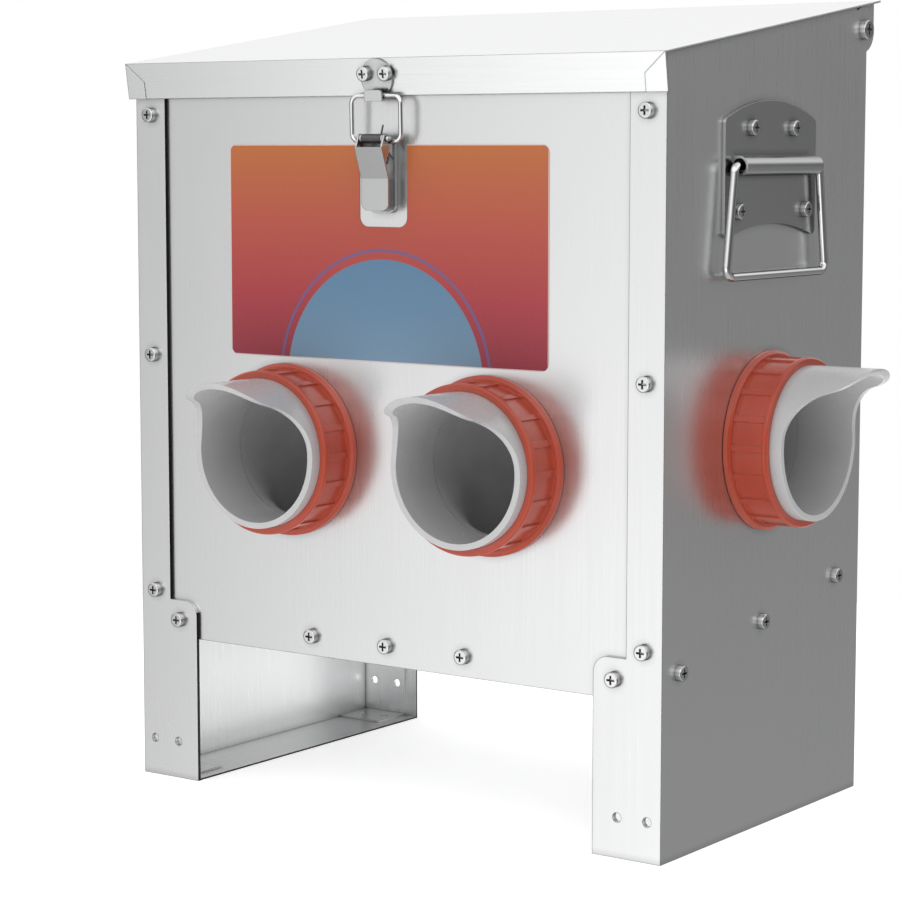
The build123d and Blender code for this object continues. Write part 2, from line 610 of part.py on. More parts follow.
def handle_plate():
    """Right handle plate with the rolled barrel that carries the grip."""
    y0 = HANDLE_Y - HANDLE_PLATE_W / 2
    y1 = HANDLE_Y + HANDLE_PLATE_W / 2
    low_z, high_z = HANDLE_SIDE_Z
    low_arch, high_arch = HANDLE_ARCH_Z
    with BuildSketch(Plane.YZ) as sk:
        with BuildLine():
            Line((y0, low_z), (y0, high_z))
            ThreePointArc((y0, high_z), (HANDLE_Y, high_arch), (y1, high_z))
            Line((y1, high_z), (y1, low_z))
            ThreePointArc((y1, low_z), (HANDLE_Y, low_arch), (y0, low_z))
        make_face()
    face_x = HALF_W + HANDLE_PLATE_T
    plate = Pos(HALF_W, 0, 0) * extrude(sk.sketch, HANDLE_PLATE_T, dir=(1, 0, 0))
    plate = fillet(plate.edges().filter_by(Axis.X).sort_by(Axis.Z)[-2:], 3.0)
    plate = fillet(plate.edges().filter_by(Axis.X).sort_by(Axis.Z)[:2], 3.0)
    e0 = HANDLE_Y - HANDLE_BARREL_HALF
    e1 = HANDLE_Y + HANDLE_BARREL_HALF
    barrel = rod_y(HANDLE_AXIS_X, HANDLE_AXIS_Z, HANDLE_BARREL_R, e0, e1)
    web_z = HANDLE_AXIS_Z + HANDLE_BARREL_R
    web = box(HALF_W, HANDLE_AXIS_X, e0, e1, web_z - 1.6, web_z)
    bore = rod_y(HANDLE_AXIS_X, HANDLE_AXIS_Z, HANDLE_WIRE_R + RUN_CLEAR, e0 - 2, e1 + 2)
    mouth_r = HANDLE_BARREL_R - HANDLE_BARREL_WALL
    mouths = [rod_y(HANDLE_AXIS_X, HANDLE_AXIS_Z, mouth_r, e0 - 2, e0 + HANDLE_MOUTH),
              rod_y(HANDLE_AXIS_X, HANDLE_AXIS_Z, mouth_r, e1 - HANDLE_MOUTH, e1 + 2)]
    seam_z = HANDLE_AXIS_Z - HANDLE_BARREL_R
    seam = box(face_x, HANDLE_AXIS_X - 0.2, e0 - 1, e1 + 1, seam_z, seam_z + 0.9)
    holes = [rod_x(HANDLE_Y + dy, z, HOLE_R, HALF_W - CUT, face_x + CUT) for dy, z in HANDLE_SCREWS]
    return plate + (barrel + web - seam) - bore - mouths - holes


def handle_grip():
    """Right handle grip: closed wire loop, hanging."""
    plane = Plane((HANDLE_AXIS_X, HANDLE_Y, HANDLE_AXIS_Z), x_dir=(0, 1, 0), z_dir=(1, 0, 0))
    corners = [(0, 0), (GRIP_TOP_HALF, 0), (GRIP_BOTTOM_HALF, -GRIP_DROP), (0, -GRIP_DROP)]
    side = plane * FilletPolyline(*corners, radius=(3.2, 4.6))
    profile = Plane(side @ 0, z_dir=side % 0) * Circle(HANDLE_WIRE_R)
    half = sweep(profile, path=side)
    return half + mirror(half, Plane((0, HANDLE_Y, 0), z_dir=(0, 1, 0)))


# ---------------------------------------------------------------- ports
# Local port frame: Z out of the panel's outer face, Y up, X across.

PORTS = {
    "front_left": Plane((-FRONT_PORT_X, FACE_Y, FRONT_PORT_Z), x_dir=(1, 0, 0), z_dir=(0, -1, 0)),
    "front_right": Plane((FRONT_PORT_X, FACE_Y, FRONT_PORT_Z), x_dir=(1, 0, 0), z_dir=(0, -1, 0)),
    "side_right": Plane((HALF_W, SIDE_PORT_Y, SIDE_PORT_Z), x_dir=(0, 1, 0), z_dir=(1, 0, 0)),
    "side_left": Plane((-HALF_W, SIDE_PORT_Y, SIDE_PORT_Z), x_dir=(0, -1, 0), z_dir=(-1, 0, 0)),
}
PORT_BACK = -(SHEET + SPOUT_FLANGE_T)    # rear face of the spout's flange


def spout():
    """Spout: clamped tube whose lip rises into a bill over the mouth."""
    tube = disc(SPOUT_OR, PORT_BACK, BILL_OUT + 5)
    low = PORT_BACK - 1
    with BuildSketch(Plane.YZ) as sk:
        with BuildLine():
            Line((-50, low), (-50, LIP_OUT))
            Line((-50, LIP_OUT), (4.0, LIP_OUT))
            ThreePointArc((4.0, LIP_OUT), (19.2, LIP_OUT + 5.4), (27.2, LIP_OUT + 17.8))
            ThreePointArc((27.2, LIP_OUT + 17.8), (29.9, LIP_OUT + 24.0), (34.2, LIP_OUT + 29.0))
            Line((34.2, LIP_OUT + 29.0), (37.0, BILL_OUT))
            Polyline((37.0, BILL_OUT), (50, BILL_OUT), (50, low), (-50, low))
        make_face()
    keep = extrude(sk.sketch, 50, both=True)
    flange = disc(SPOUT_FLANGE_R, PORT_BACK, -SHEET)
    return (tube & keep) + flange - disc(SPOUT_IR, PORT_BACK - 2, BILL_OUT + 10)


def ring_nut():
    """Ribbed ring nut that turns on the spout."""
    z0 = RING_GAP
    z1 = RING_OUT
    bore_r = SPOUT_OR + RUN_CLEAR
    blank = revolve_profile([
        (bore_r, z0), (RING_FLANGE_R, z0), (RING_FLANGE_R, z0 + 2.2), (RING_BACK_R, z0 + 3.3),
        (RING_R, z0 + 3.3), (RING_R, z1 - 2.8), (RING_RIM_R, z1 - 2.2), (RING_RIM_R, z1 - 0.8),
        (RING_RIM_R - 0.8, z1), (bore_r, z1)])
    crest = RING_R + RIB_H
    envelope = revolve_profile([
        (SPOUT_OR + 1, z0 + 1.5), (crest, z0 + 1.5), (crest, z1 - 2.6), (SPOUT_OR + 1, z1 - 2.0)])
    ribs = []
    for i in range(RIB_COUNT):
        bar = Pos(RING_R, 0, (z0 + z1) / 2) * Box(6, RIB_W, z1 - z0)
        ribs.append(Rot(0, 0, i * 360 / RIB_COUNT) * bar & envelope)
    return joined(blank, ribs)


def elbow_run(radius, extra):
    """Solid pipe along the elbow's centre line, longer by extra at both ends."""
    bend_z = PORT_BACK - ELBOW_LEAD
    out_z = bend_z - ELBOW_BEND
    with BuildLine(Plane.YZ) as path:
        Line((0, PORT_BACK + extra), (0, bend_z))
        RadiusArc((0, bend_z), (-ELBOW_BEND, out_z), ELBOW_BEND)
        Line((-ELBOW_BEND, out_z), (-ELBOW_BEND - ELBOW_STUB - extra, out_z))
    start = Plane((0, 0, PORT_BACK + extra), z_dir=(0, 0, -1))
    return sweep(start * Circle(radius), path=path.line)


def elbow():
    """Feed elbow behind the port: collar, quarter bend and a short outlet."""
    collar = disc(COLLAR_R, PORT_BACK - ELBOW_LEAD, PORT_BACK)
    return elbow_run(ELBOW_OR, 0.0) + collar - elbow_run(ELBOW_IR, 1.0)


# ---------------------------------------------------------------- label

def label():
    """Rounded label on the front panel, notched under the latch."""
    x0, x1 = LABEL_X
    z0, z1 = LABEL_Z
    sheet = Pos((x0 + x1) / 2, (z0 + z1) / 2) * RectangleRounded(x1 - x0, z1 - z0, LABEL_CORNER_R)
    notch_top = z1 + 10
    notch = Pos(NOTCH_X, (NOTCH_Z + notch_top) / 2) * RectangleRounded(NOTCH_W, notch_top - NOTCH_Z, 5.0)
    return xz_plate(sheet - notch, FACE_Y - LABEL_T, FACE_Y)


# ---------------------------------------------------------------- assembly

right_panel = side_panel()
export_node("right_side_panel", right_panel)
export_node("left_side_panel", mirrored(right_panel))
export_node("front_panel", front_panel())
export_node("rear_panel", rear_panel())
export_node("hopper_floor", hopper_floor())

front_bracket = foot_bracket(HEM_T)
rear_bracket = Pos(0, BODY_D, 0) * mirror(foot_bracket(SHEET), Plane.XZ)
export_node("foot_bracket_front_right", front_bracket)
export_node("foot_bracket_front_left", mirrored(front_bracket))
export_node("foot_bracket_rear_right", rear_bracket)
export_node("foot_bracket_rear_left", mirrored(rear_bracket))

front_flange_places = [(s * FLANGE_SCREW_X, 0, z) for s in SIDES for z in FRONT_FLANGE_Z]
rear_flange_places = [(s * FLANGE_SCREW_X, BODY_D, z) for s in SIDES for z in REAR_FLANGE_Z]
front_leg_places = [(s * LEG_SCREW_X, 0, LEG_SCREW_FRONT_Z) for s in SIDES]
rear_leg_places = [(s * LEG_SCREW_X, BODY_D, LEG_SCREW_REAR_Z) for s in SIDES]
front_floor_places = [(x, FACE_Y, FLOOR_SCREW_FRONT_Z) for x in FLOOR_SCREW_X]
rear_floor_places = [(x, BODY_D - SHEET, FLOOR_SCREW_REAR_Z) for x in FLOOR_SCREW_X]
rows = {
    "front_flange": (front_flange_places, "-Y", 8.0, HEM_T + SHEET),
    "rear_flange": (rear_flange_places, "+Y", 7.0, 2 * SHEET),
    "front_leg": (front_leg_places, "-Y", 9.0, HEM_T + 2 * SHEET),
    "rear_leg": (rear_leg_places, "+Y", 8.0, 3 * SHEET),
    "front_floor": (front_floor_places, "-Y", 7.0, 2 * SHEET),
    "rear_floor": (rear_floor_places, "+Y", 7.0, 2 * SHEET),
}
for row_name, (places, axis, shank, grip) in rows.items():
    row_screws, row_nuts = screw_row(places, axis, shank, grip)
    export_node(f"{row_name}_screws", row_screws)
    export_node(f"{row_name}_nuts", row_nuts)

side_places = [(HALF_W, y, floor_side_z(y)) for y in FLOOR_SIDE_Y]
side_screws, side_nuts = screw_row(side_places, "+X", 7.0, 2 * SHEET + PANEL_GAP)
export_node("side_floor_screws", side_screws + [mirrored(s) for s in side_screws])
export_node("side_floor_nuts", side_nuts + [mirrored(s) for s in side_nuts])

export_node("lid", lid_shell())
pivot_screw = outward("+X", (HALF_W, PIVOT_Y, PIVOT_Z)) * pan_screw(6.4, 5.0, 3.4, PIVOT_R)
pivot_nut_x = HALF_W - 2 * SHEET - 2 * SKIRT_GAP - 3.2
pivot_nut = outward("+X", (pivot_nut_x, PIVOT_Y, PIVOT_Z)) * hex_nut(3.2, 10.0, PIVOT_R + 0.02)
export_node("lid_pivot_screws", both(pivot_screw))
export_node("lid_pivot_nuts", both(pivot_nut))

catch_screw = pan_screw(4.6, 3.75, 3.0, 1.6)
catch_nut = disc(3.2, 0, 1.5) - Cylinder(1.62, 20)
catch_nut_place = Pos(0, 0, -CATCH_T - SHEET - 1.5)
export_node("catch_plate", catch_plate())
export_node("catch_screws", [catch_screw_place(x) * catch_screw for x in CATCH_SCREW_X])
export_node("catch_nuts", [catch_screw_place(x) * catch_nut_place * catch_nut for x in CATCH_SCREW_X])
export_node("latch_base", latch_base())
export_node("latch_pin", latch_pin())
export_node("latch_spring", latch_spring())
export_node("latch_rivets", latch_rivets())
export_node("latch_lever", latch_lever())
export_node("latch_bail", latch_bail())

plate = handle_plate()
grip = handle_grip()
handle_places = [(HALF_W + HANDLE_PLATE_T, HANDLE_Y + dy, z) for dy, z in HANDLE_SCREWS]
handle_screws, handle_nuts = screw_row(handle_places, "+X", 9.0, HANDLE_PLATE_T + SHEET)
export_node("handle_plate_right", plate)
export_node("handle_plate_left", mirrored(plate))
export_node("handle_grip_right", grip)
export_node("handle_grip_left", mirrored(grip))
export_node("handle_screws_right", handle_screws)
export_node("handle_screws_left", [mirrored(s) for s in handle_screws])
export_node("handle_nuts_right", handle_nuts)
export_node("handle_nuts_left", [mirrored(n) for n in handle_nuts])

port_pieces = {"spout": spout(), "ring_nut": ring_nut(), "elbow": elbow()}
for port_name, port_plane in PORTS.items():
    for piece_name, piece in port_pieces.items():
        export_node(f"{piece_name}_{port_name}", port_plane.location * piece)

export_node("front_label", label())
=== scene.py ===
import json
import math

import bmesh
import bpy
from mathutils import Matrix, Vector


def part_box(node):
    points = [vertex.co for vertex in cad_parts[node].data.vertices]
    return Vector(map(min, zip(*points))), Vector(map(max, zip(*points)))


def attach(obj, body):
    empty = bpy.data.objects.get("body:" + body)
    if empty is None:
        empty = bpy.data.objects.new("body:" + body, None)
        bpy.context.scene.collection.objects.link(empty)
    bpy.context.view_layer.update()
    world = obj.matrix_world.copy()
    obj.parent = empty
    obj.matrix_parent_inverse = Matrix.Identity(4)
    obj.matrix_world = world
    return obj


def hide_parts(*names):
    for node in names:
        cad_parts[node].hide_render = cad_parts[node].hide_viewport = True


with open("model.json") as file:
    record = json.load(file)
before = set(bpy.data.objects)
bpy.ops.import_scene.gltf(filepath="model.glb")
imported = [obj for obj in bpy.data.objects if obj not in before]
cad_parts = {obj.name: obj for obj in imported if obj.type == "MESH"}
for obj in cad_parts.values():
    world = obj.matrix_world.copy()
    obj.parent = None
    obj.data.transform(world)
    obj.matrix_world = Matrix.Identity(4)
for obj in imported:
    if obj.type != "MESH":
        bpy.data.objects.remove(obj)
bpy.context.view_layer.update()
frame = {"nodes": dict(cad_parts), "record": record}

NODES = frame["nodes"]

# ---------------------------------------------------------------- node helpers

FLAT_ENOUGH = 0.99            # cosine between true and rounded normal, away from an edge
FULL_EDGE = 0.86              # the same, on an edge
LOOKUPS = 6                   # samples of a bevel or occlusion node


class Graph:
    """Small helper around one node tree."""

    def __init__(self, tree):
        self.tree = tree

    def node(self, kind, **settings):
        made = self.tree.nodes.new(kind)
        for key, value in settings.items():
            setattr(made, key, value)
        return made

    def link(self, out, into):
        self.tree.links.new(out, into)

    def put(self, socket, value):
        """Set a socket to a constant, or join it to another socket."""
        if isinstance(value, bpy.types.NodeSocket):
            self.link(value, socket)
        else:
            socket.default_value = value

    def math(self, operation, a, b=0.0, c=0.0, clamp=False):
        made = self.node("ShaderNodeMath", operation=operation, use_clamp=clamp)
        for socket, value in zip(made.inputs, (a, b, c)):
            self.put(socket, value)
        return made.outputs[0]

    def vector_math(self, operation, a, b):
        made = self.node("ShaderNodeVectorMath", operation=operation)
        self.put(made.inputs[0], a)
        self.put(made.inputs[1], b)
        return made.outputs["Value"] if operation == "DOT_PRODUCT" else made.outputs[0]

    def remap(self, value, low, high, to_low=0.0, to_high=1.0, smooth=False):
        made = self.node("ShaderNodeMapRange", clamp=True)
        made.interpolation_type = "SMOOTHSTEP" if smooth else "LINEAR"
        for name, v in (("Value", value), ("From Min", low), ("From Max", high),
                        ("To Min", to_low), ("To Max", to_high)):
            self.put(made.inputs[name], v)
        return made.outputs[0]

    def mix(self, factor, a, b):
        made = self.node("ShaderNodeMix", data_type="RGBA")
        self.put(made.inputs[0], factor)
        self.put(made.inputs[6], a)
        self.put(made.inputs[7], b)
        return made.outputs[2]

    def ramp(self, value, stops):
        made = self.node("ShaderNodeValToRGB")
        points = made.color_ramp.elements
        while len(points) < len(stops):
            points.new(0.5)
        for point, (place, colour) in zip(points, stops):
            point.position = place
            point.color = colour
        self.put(made.inputs[0], value)
        return made.outputs[0]

    def coords(self, scale=(1.0, 1.0, 1.0)):
        """Object coordinates in metres, scaled."""
        source = self.node("ShaderNodeTexCoord")
        mapping = self.node("ShaderNodeMapping")
        mapping.inputs["Scale"].default_value = scale
        self.link(source.outputs["Object"], mapping.inputs["Vector"])
        return mapping.outputs[0]

    def noise(self, vector, scale, detail=2.0, roughness=0.5):
        made = self.node("ShaderNodeTexNoise")
        made.inputs["Scale"].default_value = scale
        made.inputs["Detail"].default_value = detail
        made.inputs["Roughness"].default_value = roughness
        self.link(vector, made.inputs["Vector"])
        return made.outputs["Fac"]

    def bump(self, height, strength, distance, normal=None):
        made = self.node("ShaderNodeBump")
        made.inputs["Strength"].default_value = strength
        made.inputs["Distance"].default_value = distance
        self.link(height, made.inputs["Height"])
        if normal is not None:
            self.link(normal, made.inputs["Normal"])
        return made.outputs[0]

    def centred(self, value, amount):
        """A 0-1 texture as a swing of this amount around zero."""
        return self.math("MULTIPLY", self.math("SUBTRACT", value, 0.5), amount)

    def rounded(self, radius):
        """Normal rounded over this radius, and a mask that is 1 on the edges."""
        bevel = self.node("ShaderNodeBevel", samples=LOOKUPS)
        bevel.inputs["Radius"].default_value = radius
        flat = self.node("ShaderNodeNewGeometry")
        same = self.vector_math("DOT_PRODUCT", bevel.outputs[0], flat.outputs["Normal"])
        return bevel.outputs[0], self.remap(same, FLAT_ENOUGH, FULL_EDGE)

    def crevice(self, distance):
        """1 deep in a corner or gap, 0 in the open."""
        made = self.node("ShaderNodeAmbientOcclusion", samples=LOOKUPS)
        made.inputs["Distance"].default_value = distance
        return self.math("SUBTRACT", 1.0, made.outputs["AO"], clamp=True)


def new_material(name):
    """Empty material with a Principled shader joined to its output."""
    material = bpy.data.materials.new(name)
    material.use_nodes = True
    tree = material.node_tree
    tree.nodes.clear()
    graph = Graph(tree)
    shader = graph.node("ShaderNodeBsdfPrincipled")
    output = graph.node("ShaderNodeOutputMaterial")
    graph.link(shader.outputs[0], output.inputs[0])
    return material, graph, shader


def rgb(r, g, b):
    """Linear colour from display values 0-255."""
    def linear(v):
        v = v / 255.0
        return v / 12.92 if v <= 0.04045 else ((v + 0.055) / 1.055) ** 2.4
    return (linear(r), linear(g), linear(b), 1.0)


def grey(v):
    """Opaque linear grey."""
    return (v, v, v, 1.0)


# ---------------------------------------------------------------- materials

HEM_EDGE_X = 0.145            # flange edges of the side sheets, where a painted shadow line goes
LEG_EDGE_X = 0.1264
SHADOW_LINE_HALF = 0.0003
SHADOW_LINE_DARK = 0.97
SIDEWAYS = 0.7                # least lean of the normal to X on such an edge
METAL_TINT = (0.995, 1.0, 1.003)
METAL_GAP = 0.004             # reach of the painted shade in corners
FINE_HEIGHT = 0.00002         # relief of the grain
MOULD_HEIGHT = 0.00003
MOULD_EDGE_R = 0.0007
POCKET_SHARE = 0.7            # of the pocket colour in a deep corner
RIM_SHARE = 0.6               # of the painted edge colour on an edge


def gap_shadow_mask(g):
    """Mask for a painted shadow line: 1 on the cut edges of the folded flanges, 0 on the rest of a side
    sheet.
    """
    parts = g.node("ShaderNodeSeparateXYZ")
    g.link(g.coords(), parts.inputs[0])
    out = g.math("ABSOLUTE", parts.outputs["X"])
    hem = g.math("COMPARE", out, HEM_EDGE_X, SHADOW_LINE_HALF)
    leg = g.math("COMPARE", out, LEG_EDGE_X, SHADOW_LINE_HALF)
    surface = g.node("ShaderNodeNewGeometry")
    facing = g.node("ShaderNodeSeparateXYZ")
    g.link(surface.outputs["Normal"], facing.inputs[0])
    sideways = g.math("GREATER_THAN", g.math("ABSOLUTE", facing.outputs["X"]), SIDEWAYS)
    return g.math("MULTIPLY", sideways, g.math("MAXIMUM", hem, leg))


def metal(name, level, rough, stretch, spread=0.02, grain=0.2, edge=-0.4, edge_r=0.0006, gap=0.5,
          flanged=False, rim=1.0):
    """Metal with directional grain, faint blotches, a tone change along edges, painted shade in corners,
    and painted shadow lines on the flange edges when flanged.
    """
    material, g, shader = new_material(name)
    fine = g.noise(g.coords(stretch), 1.0, detail=3.0, roughness=0.6)
    blotch = g.noise(g.coords(), 9.0, detail=3.0, roughness=0.55)
    normal, edges = g.rounded(edge_r)
    tone = g.math("ADD", g.centred(fine, spread), g.centred(blotch, spread * 1.4))
    tone = g.math("ADD", tone, level)
    # tone change along edges: darker where edge is below zero, lighter where it is above
    tone = g.math("MULTIPLY", tone, g.math("ADD", 1.0, g.math("MULTIPLY", edges, edge)))
    # painted shade: darker in corners and gaps, as strong as the gap argument
    corner_shade = g.math("SUBTRACT", 1.0, g.math("MULTIPLY", g.crevice(METAL_GAP), gap))
    tone = g.math("MULTIPLY", tone, corner_shade, clamp=True)
    if flanged:
        # painted shadow line along the flange edges, standing in for the shadow in the gap over the front
        # panel
        dark = g.math("MULTIPLY", gap_shadow_mask(g), SHADOW_LINE_DARK)
        tone = g.math("MULTIPLY", tone, g.math("SUBTRACT", 1.0, dark))
    colour = g.node("ShaderNodeCombineColor")
    for i, gain in enumerate(METAL_TINT):
        g.link(g.math("MULTIPLY", tone, gain), colour.inputs[i])
    g.link(colour.outputs[0], shader.inputs["Base Color"])
    shader.inputs["Metallic"].default_value = 1.0
    shader.inputs["Specular Tint"].default_value = grey(rim)
    swing = g.math("ADD", g.centred(fine, rough * 0.35), g.centred(blotch, rough * 0.25))
    g.link(g.math("ADD", rough, swing), shader.inputs["Roughness"])
    g.link(g.bump(fine, grain, FINE_HEIGHT, normal), shader.inputs["Normal"])
    return material


def moulded(name, colour, rim, pocket, rough, coat=0.0, variation=0.04, gap_size=0.005):
    """Moulded plastic: colour drift, fine grain, a colour in recesses set by occlusion (painted shade on
    white and grey), and a painted highlight on edges (painted shade lines on grey).
    """
    material, g, shader = new_material(name)
    drift = g.noise(g.coords(), 60.0, detail=3.0)
    fine = g.noise(g.coords(), 1600.0)
    normal, edges = g.rounded(MOULD_EDGE_R)
    dark = tuple(c * (1.0 - variation * 2) for c in colour[:3]) + (1.0,)
    light = tuple(min(1.0, c * (1.0 + variation)) for c in colour[:3]) + (1.0,)
    base = g.mix(g.remap(drift, 0.3, 0.7), dark, light)
    # colour set by occlusion in recesses: painted shade on the white and grey plastics, a paler pink tone
    # on the orange
    base = g.mix(g.math("MULTIPLY", g.crevice(gap_size), POCKET_SHARE), base, pocket)
    # painted highlight on edges; on the grey plastic, painted shade lines
    base = g.mix(g.math("MULTIPLY", edges, RIM_SHARE), base, rim)
    g.link(base, shader.inputs["Base Color"])
    g.link(g.math("ADD", rough, g.centred(fine, 0.12)), shader.inputs["Roughness"])
    g.link(g.bump(fine, 0.2, MOULD_HEIGHT, normal), shader.inputs["Normal"])
    shader.inputs["Coat Weight"].default_value = coat
    shader.inputs["Coat Roughness"].default_value = 0.15
    return material


DISC_R = 0.062                # blue disc of the label
DISC_DROP = 0.010             # its centre below the label's lower edge
RING_IN = 0.0034
RING_OUT = 0.0050
FILM_RIM = 0.0006             # width of the pale rim
PRINT_BLUR = 0.0003           # half width of a printed edge
FILM_GAP = 0.006              # reach of the shade along a piece that lies on the film


def label_film():
    """Printed film: orange to crimson, a plain blue disc with a thin ring, a pale rim, and painted shade
    along pieces that lie on it.
    """
    material, g, shader = new_material("label_print")
    low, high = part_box("front_label")
    parts = g.node("ShaderNodeSeparateXYZ")
    g.link(g.coords(), parts.inputs[0])
    z = parts.outputs["Z"]
    across = g.math("SUBTRACT", parts.outputs["X"], (low.x + high.x) / 2)
    up = g.math("DIVIDE", g.math("SUBTRACT", z, low.z), high.z - low.z)
    field = g.ramp(up, [(0.0, rgb(138, 22, 52)), (0.3, rgb(166, 46, 58)), (0.62, rgb(178, 74, 58)),
                        (0.85, rgb(182, 92, 54)), (1.0, rgb(186, 104, 46))])
    rise = g.math("SUBTRACT", z, low.z - DISC_DROP)
    away = g.math("SQRT", g.math("ADD", g.math("POWER", across, 2.0), g.math("POWER", rise, 2.0)))
    shade = g.ramp(up, [(0.0, rgb(106, 142, 168)), (0.35, rgb(84, 130, 162)), (0.75, rgb(70, 118, 154))])
    colour = g.mix(g.remap(away, DISC_R, DISC_R - 2 * PRINT_BLUR), field, shade)
    inner = g.remap(away, DISC_R + RING_IN - PRINT_BLUR, DISC_R + RING_IN + PRINT_BLUR)
    outer = g.remap(away, DISC_R + RING_OUT + PRINT_BLUR, DISC_R + RING_OUT - PRINT_BLUR)
    colour = g.mix(g.math("MULTIPLY", g.math("MULTIPLY", inner, outer), 0.7), colour, rgb(66, 92, 148))
    grain = g.noise(g.coords(), 900.0)
    colour = g.mix(g.math("MULTIPLY", grain, 0.08), colour, rgb(215, 160, 140))
    edge_x = g.math("SUBTRACT", (high.x - low.x) / 2, g.math("ABSOLUTE", across))
    edge_z = g.math("MINIMUM", g.math("SUBTRACT", z, low.z), g.math("SUBTRACT", high.z, z))
    rim = g.remap(g.math("MINIMUM", edge_x, edge_z), FILM_RIM, FILM_RIM / 2)
    colour = g.mix(g.math("MULTIPLY", rim, 0.8), colour, rgb(235, 215, 208))
    # painted shade along pieces that lie on the film
    g.link(g.mix(g.crevice(FILM_GAP), colour, rgb(70, 40, 42)), shader.inputs["Base Color"])
    g.link(g.math("ADD", 0.38, g.centred(grain, 0.1)), shader.inputs["Roughness"])
    g.link(g.bump(grain, 0.1, FINE_HEIGHT), shader.inputs["Normal"])
    return material


UPRIGHT_GRAIN = (900.0, 900.0, 12.0)
ALONG_X_GRAIN = (12.0, 900.0, 900.0)
ALONG_Y_GRAIN = (900.0, 12.0, 900.0)
EVEN_GRAIN = (500.0, 500.0, 500.0)

SHEET_LOOK = {"stretch": UPRIGHT_GRAIN, "spread": 0.016, "grain": 0.08, "edge": -0.7}
SHEET = metal("sheet_upright", 0.84, 0.29, **SHEET_LOOK)
SHEET_FLANGED = metal("sheet_flanged", 0.84, 0.29, flanged=True, **SHEET_LOOK)
SHEET_LID = metal("sheet_lid", 0.88, 0.26, ALONG_X_GRAIN, spread=0.016, grain=0.08, edge=-0.75)
SHEET_FLOOR = metal("sheet_floor", 0.74, 0.32, ALONG_Y_GRAIN)
ZINC = metal("zinc_plate", 0.72, 0.16, EVEN_GRAIN, spread=0.02, grain=0.03, edge=-0.55, edge_r=0.0004,
             gap=0.8, rim=0.1)
NICKEL = metal("nickel_plate", 0.64, 0.24, EVEN_GRAIN, spread=0.012, grain=0.015, edge=-0.35,
               edge_r=0.0004, gap=0.7, rim=0.3)
CHROME = metal("chrome_plate", 0.90, 0.05, EVEN_GRAIN, spread=0.01, grain=0.02, edge=0.0,
               edge_r=0.0002, gap=0.6, rim=0.0)
SPRING = metal("black_spring", 0.14, 0.35, EVEN_GRAIN, spread=0.02, grain=0.1, edge=0.3, edge_r=0.0002)
# rim: painted highlight on the ring's edges; pocket: paler pink tone in recesses
ORANGE = moulded("orange_plastic", rgb(184, 68, 44), rim=rgb(216, 90, 56), pocket=rgb(194, 112, 96),
                 rough=0.30, coat=0.2)
# rim: painted highlight on the spout's edges; pocket: painted shade in recesses
WHITE = moulded("white_plastic", rgb(196, 196, 197), rim=rgb(252, 252, 252),
                pocket=rgb(132, 132, 133), rough=0.26, coat=0.15, variation=0.02)
# rim: painted shade lines on the elbow's edges; pocket: painted shade in recesses
GREY = moulded("grey_plastic", rgb(190, 190, 191), rim=rgb(60, 60, 61), pocket=rgb(112, 112, 113),
               rough=0.42, gap_size=0.006)
LABEL = label_film()

FINISHES = (
    ("ring_nut", ORANGE),
    ("spout", WHITE),
    ("elbow", GREY),
    ("front_label", LABEL),
    ("latch_spring", SPRING),
    ("latch_rivets", ZINC),
    ("latch_bail", CHROME),
    ("handle_grip", CHROME),
    ("handle_plate", NICKEL),
    ("latch", NICKEL),
    ("catch_plate", NICKEL),
    ("lid_pivot", ZINC),
    ("lid", SHEET_LID),
    ("hopper_floor", SHEET_FLOOR),
    ("left_side_panel", SHEET_FLANGED),
    ("right_side_panel", SHEET_FLANGED),
)


def finish_of(name):
    """Finish of a CAD node, by how its name starts."""
    if "screws" in name or "nuts" in name:
        return ZINC
    for start, material in FINISHES:
        if name.startswith(start):
            return material
    return SHEET


for node_name, node in NODES.items():
    node.data.materials.clear()
    node.data.materials.append(finish_of(node_name))

# ---------------------------------------------------------------- latch wire

WIRE_R = 0.00115
WIRE_HALF_W = 0.0152          # centre line
WIRE_TIP = 0.0075
WIRE_CORNER_R = 0.004
CORNER_STEPS = 8
WIRE_SIDES = 16
BAR_Y = -0.0807               # top bar in the hook's pocket
BAR_Z = 0.36535               # just clear of the hook's floor


def hinge_place(name):
    """Where a joint of the record sits."""
    for joint in frame["record"]["behaviour"]["joints"]:
        if joint["name"] == name:
            return Vector(joint["pos_m"])
    raise ValueError(name)


def wire_path(pivot, up, length):
    """Centre line of the loop, with round corners, from one stub to the other."""
    corners = [(-WIRE_HALF_W, 0.0, -90), (-WIRE_HALF_W, length, 180), (WIRE_HALF_W, length, 90),
               (WIRE_HALF_W, 0.0, 0)]
    flat = [(-WIRE_TIP, 0.0)]
    for x, rise, first in corners:
        centre_x = x - math.copysign(WIRE_CORNER_R, x)
        centre_rise = WIRE_CORNER_R if rise == 0.0 else rise - WIRE_CORNER_R
        for i in range(CORNER_STEPS + 1):
            angle = math.radians(first - 90 * i / CORNER_STEPS)
            flat.append((centre_x + WIRE_CORNER_R * math.cos(angle),
                         centre_rise + WIRE_CORNER_R * math.sin(angle)))
    flat.append((WIRE_TIP, 0.0))
    return [pivot + Vector((x, 0, 0)) + up * rise for x, rise in flat]


